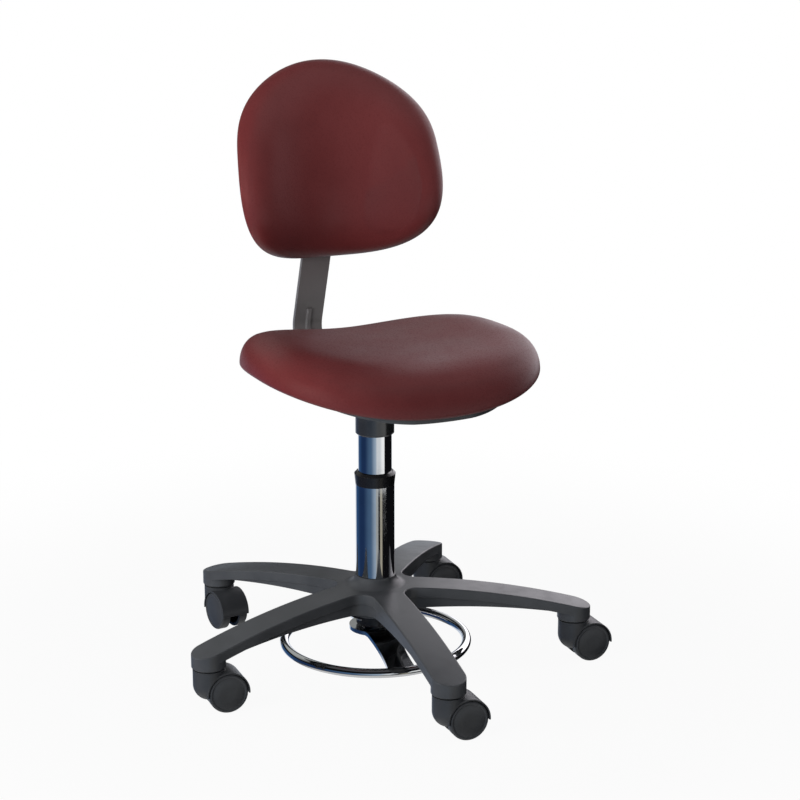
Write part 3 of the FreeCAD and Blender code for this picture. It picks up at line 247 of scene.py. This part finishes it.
chrome = metal("chrome_plate", (0.78, 0.79, 0.80, 1), (0.86, 0.87, 0.88, 1), 0.035, 0.05, (90, 90, 2600))
steel = metal("zinc_plated_steel", (0.50, 0.51, 0.52, 1), (0.64, 0.64, 0.65, 1), 0.26, 0.16, (700, 700, 700))
aluminium = metal("turned_aluminium", (0.66, 0.66, 0.67, 1), (0.78, 0.78, 0.79, 1), 0.24, 0.12, (60, 60, 2400))

painted, place = new_finish("grey_powder_paint")
rounded, edge_highlight = edges(place, BAR_EDGE_RADIUS)
peel = noise(place, 420.0, 2.0)
patch = step(noise(place, 18.0, 4.0), 0.3, 0.7)
paint(painted, {
    # painted highlight: the bar's edges are made paler in the colour
    "Base Color": mix(0.5 * patch + 0.4 * edge_highlight, (0.190, 0.181, 0.182, 1), (0.255, 0.244, 0.246, 1)),
    "Metallic": 0.45,
    "Roughness": 0.34 + 0.08 * patch,
    "Normal": bump(peel, 0.15, PEEL_DEPTH, rounded),
})

# %% [markdown]
# ## Plywood
# The boards inside the pads are beech plywood. They hardly ever show, but a board has layers: across its thickness
# the plies alternate, and along its faces the grain runs in long streaks. The two boards lie differently, so the
# layers are counted on the sum of height and depth, which runs across both.

# %% Boards
plywood, place = new_finish("beech_plywood")
streak = place.add("ShaderNodeVectorMath", {"operation": "MULTIPLY"}, {0: place, 1: (30, 400, 400)})
fibre = noise(streak, 1.0, 4.0)
ply = place.add("ShaderNodeTexWave", {"bands_direction": "DIAGONAL"}, {"Vector": place, "Scale": 110.0})
paint(plywood, {
    "Base Color": mix(0.6 * fibre + 0.3 * ply, (0.42, 0.27, 0.15, 1), (0.62, 0.45, 0.28, 1)),
    "Roughness": 0.55 + 0.15 * fibre,
    "Normal": bump(fibre, 0.2, 0.0003),
})

# %% [markdown]
# ## Dressing the solids
# Each solid already names its material, so it takes the finish with that name. Only the seat socket differs: it is
# enamelled, and shines more than the other black pieces.

# %% Finishes by material name
finishes = {
    "burgundy_vinyl": vinyl,
    "grey_base_plastic": base_plastic,
    "caster_plastic": caster_plastic,
    "black_plastic": black_plastic,
    "inner_plastic": inner_plastic,
    "seal_rubber": rubber,
    "chrome": chrome,
    "bright_steel": steel,
    "aluminium": aluminium,
    "grey_painted_steel": painted,
    "plywood": plywood,
}
for solid in nodes.values():
    for coat in solid.material_slots:
        coat.material = finishes[coat.material.name]
for coat in nodes["seat_socket"].material_slots:
    coat.material = socket_enamel
print("dressed", len(nodes), "solids with", len(finishes), "finishes")

# %% [markdown]
# ## The two pads
# A pad is foam on a board with a vinyl cover drawn over it and stapled behind. Its skin is tight, so it has no
# folds, only a full, round edge. Each pad starts as a cube that is subdivided and blown up to a ball: a ball made
# this way has even squares and no poles. A formula then lays the ball's skin out as the pad. The turn around the
# ball becomes the turn around the outline, and the way down from the top becomes the way from the middle of the pad
# to its rim and back along the other side.

# %% A ball of squares
PAD_CUTS = 47
RIM_CROWDING = 2.2


def ball_of_squares(name):
    bpy.ops.object.select_all(action="DESELECT")
    bpy.ops.mesh.primitive_cube_add(size=2.0)
    ball = bpy.context.object
    ball.name = name
    bpy.ops.object.mode_set(mode="EDIT")
    bpy.ops.mesh.select_all(action="SELECT")
    bpy.ops.mesh.subdivide(number_cuts=PAD_CUTS)
    bpy.ops.object.mode_set(mode="OBJECT")
    return ball


def lay_out(ball, point):
    """Moves each point of the ball to point(turn, share of the way to the rim, which side)."""
    for vertex in ball.data.vertices:
        way = vertex.co.normalized()
        turn = math.atan2(way.y, way.x)
        down = math.acos(max(-1.0, min(1.0, way.z))) / (math.pi / 2)
        share = 1.0 - (1.0 - min(down, 2.0 - down)) ** RIM_CROWDING
        vertex.co = Vector(point(turn, share, down < 1.0)) / 1000.0
    bpy.context.view_layer.update()
    print(ball.name, [round(1000 * side) for side in ball.dimensions], "mm before filling")


def smooth(x):
    x = max(0.0, min(1.0, x))
    return x * x * (3.0 - 2.0 * x)


def outline(turn, half_width, far, near, far_power, near_power):
    """Distance from the middle to a rounded outline whose two ends differ in length and in squareness."""
    half_length = far if math.sin(turn) > 0 else near
    power = near_power + (far_power - near_power) * smooth((1.0 + math.sin(turn)) / 2.0)
    across = abs(math.cos(turn) / half_width) ** power
    along = abs(math.sin(turn) / half_length) ** power
    return (across + along) ** (-1.0 / power)


print("a pad starts with", 6 * (PAD_CUTS + 1) ** 2, "squares")

# %% [markdown]
# The seat is a rounded square with a dish across it: both sides rise, the front edge falls away under the thighs.
# The cover rolls under the board with a small radius, and the underside follows the dished board of the solid. The
# sizes in these two cells are in millimetres. In the formulas u runs from -1 to 1 across the seat and w from its
# rear to its front. The powers of u and w make the dish, the crest at the rear and the fall at the front.

# %% The seat
SEAT_HALF_WIDTH = 177.1
SEAT_FRONT = 178.0
SEAT_REAR = 192.0
SEAT_AHEAD = 38.2
SEAT_LOW = 386.5
SEAT_THICK = 47.2
SEAT_LIFT = 25.1
BOARD_LOW = 383.3
BOARD_LIFT = 27.5
SEAT_SQUARENESS = (2.49, 2.50)
SEAT_TAPER = 0.046
SEAT_EDGE_POWER = 8
EDGE_ROLL = 6.0
EDGE_LIFT = 2.5
EDGE_FADE = 10.0
BOARD_SHARE = 0.95
BOARD_FADE = 0.12


def seat_point(turn, share, upper):
    front_first = -turn
    reach = outline(front_first, SEAT_HALF_WIDTH, SEAT_FRONT, SEAT_REAR, *SEAT_SQUARENESS)
    half_length = (SEAT_FRONT + SEAT_REAR) / 2
    ahead = share * reach * math.sin(front_first)
    aside = share * reach * math.cos(front_first) * (1.0 + SEAT_TAPER * ahead / half_length)
    u = aside / SEAT_HALF_WIDTH
    w = ahead / half_length
    low = SEAT_LOW + SEAT_LIFT * u * u + 3.0 * w - 5.1 * w * w + 1.9 * u * u * w
    cap = math.sqrt(max(0.0, 1.0 - share ** SEAT_EDGE_POWER))
    if upper:
        crown = SEAT_THICK + 4.0 * u * u + 3.3 * w * w - 10.3 * u * u * w + 3.5 * w + 2.2 * w ** 3
        z = low + crown * cap + EDGE_LIFT * (1.0 - cap) ** 4
    else:
        inward = (1.0 - share) * reach
        roll = max(0.0, EDGE_ROLL - inward)
        drop = math.sqrt(EDGE_ROLL ** 2 - roll ** 2) - EDGE_LIFT
        drop *= 1.0 - smooth((inward - EDGE_ROLL) / EDGE_FADE)
        board = BOARD_LOW + BOARD_LIFT * u * u
        z = low - drop + (board - low) * smooth((BOARD_SHARE - share) / BOARD_FADE)
    return aside, -(ahead + SEAT_AHEAD), z


seat_pad = ball_of_squares("seat_pad")
lay_out(seat_pad, seat_point)

# %% [markdown]
# The backrest is egg-shaped, wider below, and it wraps around the sitter's back: its sides come forward, and its
# top and bottom lean back a little. The ball's top becomes the front of the pad.

# %% The backrest
BACK_HALF_WIDTH = 136.6
BACK_TOP = 120.8
BACK_BOTTOM = 134.9
BACK_FRONT_THICK = 27.0
BACK_REAR_THICK = 11.0
BACK_SQUARENESS = (2.02, 3.24)
BACK_NARROWING = 0.073
BACK_HALF_LENGTH = 127.8
BACK_EDGE_POWERS = (6.6, 2.19)
BACK_WRAP = 0.00515
BACK_WRAP_LOSS = 2.1e-3
BACK_WRAP_LENGTH = 120.0
BACK_WRAP_POWER = 1.94
BACK_BOW = 0.00155
BACK_LEAN = -0.136
BACK_MIDDLE = (155.6, 645.8)


def back_point(turn, share, front):
    reach = outline(turn, BACK_HALF_WIDTH, BACK_TOP, BACK_BOTTOM, *BACK_SQUARENESS)
    up = share * reach * math.sin(turn)
    aside = share * reach * math.cos(turn) * (1.0 - BACK_NARROWING * up / BACK_HALF_LENGTH)
    cap = max(0.0, 1.0 - share ** BACK_EDGE_POWERS[0]) ** (1.0 / BACK_EDGE_POWERS[1])
    ahead = BACK_FRONT_THICK * cap if front else -BACK_REAR_THICK * cap
    wrap = (BACK_WRAP - BACK_WRAP_LOSS * up / BACK_WRAP_LENGTH) * BACK_HALF_WIDTH ** 2 / 2
    curved = ahead + wrap * abs(aside / BACK_HALF_WIDTH) ** BACK_WRAP_POWER - BACK_BOW * up * up / 2
    narrowed = aside * (1.0 - ahead * BACK_WRAP)
    forward = curved * math.cos(BACK_LEAN) + up * math.sin(BACK_LEAN)
    above = up * math.cos(BACK_LEAN) - curved * math.sin(BACK_LEAN)
    return narrowed, BACK_MIDDLE[0] - forward, BACK_MIDDLE[1] + above


back_pad = ball_of_squares("back_pad")
lay_out(back_pad, back_point)

# %% [markdown]
# ## Filling the covers
# The foam presses the cover outwards until the vinyl is tight. A cloth simulation does the same: the cover starts a
# little too small, air fills it for twenty frames, and it swells. The side against the board is held, like the
# stapled edge of a real cover, and no point may move further than the foam would let it. Tight vinyl spreads a
# local swell over its neighbours, so the swell is evened out along the mesh before it is used.

# %% Cloth under pressure
SHRINK = 0.0005
MOST_SWELL = 0.0026
PRESSURE = 4.0
HELD_LEAN = 0.6
FRAMES = 20
EVENING_ROUNDS = 60


def fill_cover(pad, held):
    """Shrinks the cover, fills it with air, then limits and evens out how far it swells."""
    mesh = pad.data
    outward = [vertex.normal.copy() for vertex in mesh.vertices]
    inner = [vertex.co - normal * SHRINK for vertex, normal in zip(mesh.vertices, outward)]
    for vertex, place in zip(mesh.vertices, inner):
        vertex.co = place
    stapled = pad.vertex_groups.new(name="stapled")
    stapled.add([vertex.index for vertex in mesh.vertices if held(vertex.normal)], 1.0, "REPLACE")
    cloth = pad.modifiers.new("filling", "CLOTH")
    cloth.settings.use_pressure = True
    cloth.settings.uniform_pressure_force = PRESSURE
    cloth.settings.effector_weights.gravity = 0.0
    cloth.settings.vertex_group_mass = stapled.name
    for number in range(1, FRAMES + 1):
        bpy.context.scene.frame_set(number)
    bpy.context.view_layer.objects.active = pad
    bpy.ops.object.modifier_apply(modifier=cloth.name)
    bpy.context.scene.frame_set(1)
    swell = []
    for vertex, place, normal in zip(mesh.vertices, inner, outward):
        swell.append(max(0.0, min(MOST_SWELL, (vertex.co - place).dot(normal))))
    ends = [tuple(edge_highlight.vertices) for edge_highlight in mesh.edges]
    for number in range(EVENING_ROUNDS):
        total = list(swell)
        count = [1] * len(swell)
        for first, second in ends:
            total[first] += swell[second]
            total[second] += swell[first]
            count[first] += 1
            count[second] += 1
        swell = [amount / near for amount, near in zip(total, count)]
    for vertex, place, normal, amount in zip(mesh.vertices, inner, outward, swell):
        vertex.co = place + normal * amount
    mesh.update()
    print(pad.name, "swelled by", round(1000 * min(swell), 2), "to", round(1000 * max(swell), 2), "mm")


fill_cover(seat_pad, lambda normal: normal.z < -HELD_LEAN)
fill_cover(back_pad, lambda normal: normal.y > HELD_LEAN)

# %% [markdown]
# One level of subdivision makes the skin smooth. Each pad then takes the place of its solid and rides on the same
# body.

# %% Finish the pads
def finish_pad(pad, body, solid):
    bpy.ops.object.select_all(action="DESELECT")
    pad.select_set(True)
    bpy.context.view_layer.objects.active = pad
    finer = pad.modifiers.new("finer", "SUBSURF")
    finer.levels = 1
    bpy.ops.object.modifier_apply(modifier=finer.name)
    bpy.ops.object.shade_smooth()
    pad.data.materials.append(vinyl)
    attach(pad, body)
    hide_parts(solid)
    print(pad.name, "has", len(pad.data.polygons), "faces")


finish_pad(seat_pad, "seat", "seat_cushion")
finish_pad(back_pad, "back", "back_cushion")

# %% [markdown]
# ## The studio
# The stool stands on a white floor that fades into a white background. The floor stays pale for the camera and
# still takes a soft shadow.

# %% Floor
FLOOR_SIZE = 60.0
WHITE_SHARE = 0.94
SHADOW_REACH = (0.4, 1.1)

bpy.ops.object.select_all(action="DESELECT")
bpy.ops.mesh.primitive_plane_add(size=FLOOR_SIZE)
floor = bpy.context.object
floor.name = "studio_floor"
floor.visible_glossy = False
floor_finish, place = new_finish("white_floor")
seen = place.add("ShaderNodeLightPath", {}, {}, "Is Camera Ray")
white = place.add("ShaderNodeEmission", {}, {"Color": (1, 1, 1, 1), "Strength": 1.0})
matt = place.add("ShaderNodeBsdfDiffuse", {}, {"Color": (0.45, 0.45, 0.45, 1)})
away = place.add("ShaderNodeVectorMath", {"operation": "LENGTH"}, {0: place}, "Value")
plain = WHITE_SHARE + (1.0 - WHITE_SHARE) * step(away, *SHADOW_REACH)
both = place.add("ShaderNodeMixShader", {}, {0: plain * seen, 1: matt, 2: white})
place.tree.links.new(both.socket, place.tree.nodes["Material Output"].inputs["Surface"])
floor.data.materials.append(floor_finish)
print("floor of", FLOOR_SIZE, "m")

# %% [markdown]
# Polished tubes show nothing but their surroundings. On the photographed column that is a blue screen on the left,
# white cloths in front and a black screen on the right, and the vinyl shows a bright ceiling behind on the right. A
# tall open drum around the stool stands in for all of these. Only reflections can see it. Its colour depends on the
# bearing, counted in degrees from the camera towards the right, and on the height: a low and a middle row of
# screens, a dark gap, and the ceiling, which hangs lower on the right.

# %% Screens that only reflections see
CAMERA_PLACE = Vector((-1.0282, -2.3877, 1.0471))
CAMERA_LOOK = Vector((0.3930, 0.8826, -0.2580))
DRUM_RADIUS = 2.4
DRUM_BOTTOM = -1.7
DRUM_TOP = 2.4
STRIPE_TOP = -0.49
STRIPE_BLUR = 0.01
SCREEN_TOP = (0.12, 0.25)
CEILING_START = (0.75, 1.10)
CEILING_DROP = 0.80
CEILING_DROP_BEARINGS = (50.0, 88.0)

bpy.ops.object.select_all(action="DESELECT")
drum_middle = (0.0, 0.0, (DRUM_BOTTOM + DRUM_TOP) / 2)
bpy.ops.mesh.primitive_cylinder_add(vertices=96, radius=DRUM_RADIUS, depth=DRUM_TOP - DRUM_BOTTOM,
                                    end_fill_type="NOTHING", location=drum_middle)
drum = bpy.context.object
drum.name = "studio_screens"
for sense in ("camera", "diffuse", "shadow", "transmission", "volume_scatter"):
    setattr(drum, "visible_" + sense, False)

screens, place = new_finish("studio_screens")
front = Vector((-CAMERA_LOOK.x, -CAMERA_LOOK.y, 0.0)).normalized()
right = Vector((-front.y, front.x, 0.0))


def along(direction):
    return place.add("ShaderNodeVectorMath", {"operation": "DOT_PRODUCT"}, {0: place, 1: direction}, "Value")


bearing = place.math("ARCTAN2", along(right), along(front)) * (180.0 / math.pi)
level = along((0.0, 0.0, 1.0)) + drum_middle[2]
BACK_WALL = (0.64, 0.70, 0.80, 1.0)
BLUE = (0.030, 0.080, 0.190, 1.0)
NAVY = (0.012, 0.030, 0.085, 1.0)
MID_BLUE = (0.060, 0.115, 0.205, 1.0)
PALE_BLUE = (0.30, 0.38, 0.48, 1.0)
OFF_WHITE = (0.62, 0.65, 0.68, 1.0)
WHITE = (0.92, 0.92, 0.92, 1.0)
PALE_GREY = (0.36, 0.37, 0.36, 1.0)
CREAM = (0.36, 0.33, 0.26, 1.0)
BLACK = (0.004, 0.004, 0.005, 1.0)
CEILING = (1.90, 1.82, 1.92, 1.0)


def screens_from(first, bands):
    """Screens side by side: each band has the bearings where it fades in, and its colour."""
    colour = first
    for start, end, next_colour in bands:
        colour = mix(step(bearing, start, end), colour, next_colour)
    return colour


left_side = [(-152.0, -138.0, BLUE), (-135.0, -92.0, NAVY), (-74.0, -28.0, MID_BLUE), (-28.0, 6.0, PALE_BLUE)]
low = screens_from(BACK_WALL, left_side + [(4.0, 8.0, PALE_GREY), (18.0, 21.0, BLACK), (29.0, 32.0, CREAM),
                                           (41.0, 46.0, BLACK), (165.0, 172.0, BACK_WALL)])
middle = screens_from(BACK_WALL, left_side + [(4.0, 16.0, OFF_WHITE), (32.0, 54.0, WHITE), (67.0, 71.0, BLACK),
                                              (165.0, 172.0, BACK_WALL)])
high = screens_from(PALE_GREY, [(-125.0, -80.0, BLACK), (90.0, 125.0, CEILING), (168.0, 180.0, OFF_WHITE)])
shade = mix(step(level, STRIPE_TOP - STRIPE_BLUR, STRIPE_TOP + STRIPE_BLUR), low, middle)
shade = mix(step(level, *SCREEN_TOP), shade, BLACK)
lift = level + CEILING_DROP * step(bearing, *CEILING_DROP_BEARINGS)
shade = mix(step(lift, *CEILING_START), shade, high)
glow = place.add("ShaderNodeEmission", {}, {"Color": shade, "Strength": 1.0})
place.tree.links.new(glow.socket, place.tree.nodes["Material Output"].inputs["Surface"])
drum.data.materials.append(screens)
print("screens from", DRUM_BOTTOM, "to", DRUM_TOP, "m")

# %% [markdown]
# ## Light
# The room is white for the camera and dim as a light. Most of the light comes from one large soft box on the left,
# at little more than seat height: the side of the seat that faces it glows red, and the far side falls into shade.
# Two weak boxes above open the shadows, and a small one with a narrow beam lifts the backrest and leaves the seat's
# front dark. In reflections the room is nearly black, except far below, where a pale floor would be.

# %% World and lamps
ROOM_LIGHT = (0.24, 0.25, 0.26, 1.0)
ROOM_MIRRORED = (0.06, 0.06, 0.065, 1.0)
FLOOR_MIRRORED = (0.55, 0.55, 0.55, 1.0)
FLOOR_MIRRORED_BELOW = (-0.80, -0.62)
WHITE_LAMP = (1.0, 1.0, 1.0)

world = bpy.data.worlds.new("white_room")
bpy.context.scene.world = world
world.use_nodes = True
seen = Wire(world.node_tree, world.node_tree.nodes.new("ShaderNodeLightPath").outputs["Is Camera Ray"])
through = seen.add("ShaderNodeLightPath", {}, {}, "Is Transmission Ray")
mirrored = seen.add("ShaderNodeLightPath", {}, {}, "Is Glossy Ray")
facing = seen.add("ShaderNodeTexCoord", {}, {}, "Generated")
height = seen.add("ShaderNodeSeparateXYZ", {}, {0: facing}, "Z")
mirror = mix(step(height, *FLOOR_MIRRORED_BELOW), FLOOR_MIRRORED, ROOM_MIRRORED)
room = mix(mirrored, ROOM_LIGHT, mirror)
room = mix(seen.math("MAXIMUM", seen, through), room, (1.0, 1.0, 1.0, 1.0))
world.node_tree.links.new(room.socket, world.node_tree.nodes["Background"].inputs["Color"])


def soft_box(name, place, target, size, power, colour, spread=180.0):
    bpy.ops.object.select_all(action="DESELECT")
    bpy.ops.object.light_add(type="AREA", location=place)
    lamp = bpy.context.object
    lamp.name = name
    lamp.data.shape = "RECTANGLE"
    lamp.data.size = size[0]
    lamp.data.size_y = size[1]
    lamp.data.energy = power
    lamp.data.color = colour
    lamp.data.spread = math.radians(spread)
    lamp.rotation_euler = (Vector(target) - Vector(place)).to_track_quat("-Z", "Y").to_euler()
    lamp.visible_camera = False
    lamp.visible_glossy = False
    print(name, power, "W")


soft_box("left_box", (-2.17, -0.38, 0.80), (0.0, 0.0, 0.50), (2.4, 1.0), 66.0, (1.0, 0.99, 0.98))
soft_box("front_top_box", (-0.1, -1.3, 2.3), (0.0, 0.10, 0.65), (1.6, 1.4), 8.5, WHITE_LAMP)
soft_box("right_top_box", (0.75, -0.20, 2.2), (0.0, 0.0, 0.43), (1.0, 1.0), 8.0, WHITE_LAMP)
soft_box("backrest_box", (-0.35, -2.0, 1.2), (0.0, 0.12, 0.74), (0.35, 0.35), 0.22, WHITE_LAMP, 20.0)

# %% [markdown]
# ## Camera
# The picture was taken from a little above the backrest, about 23 degrees to the sitter's right, with a long lens.

# %% Camera
CAMERA_LENS = 95.74
CAMERA_SENSOR = 36.0

bpy.ops.object.select_all(action="DESELECT")
bpy.ops.object.camera_add(location=CAMERA_PLACE, rotation=CAMERA_LOOK.to_track_quat("-Z", "Y").to_euler())
camera = bpy.context.object
camera.name = "photo_camera"
camera.data.lens = CAMERA_LENS
camera.data.sensor_width = CAMERA_SENSOR
bpy.context.scene.camera = camera
bpy.context.scene.view_settings.view_transform = "Standard"
print("camera", round(CAMERA_PLACE.length, 2), "m from the column's foot")
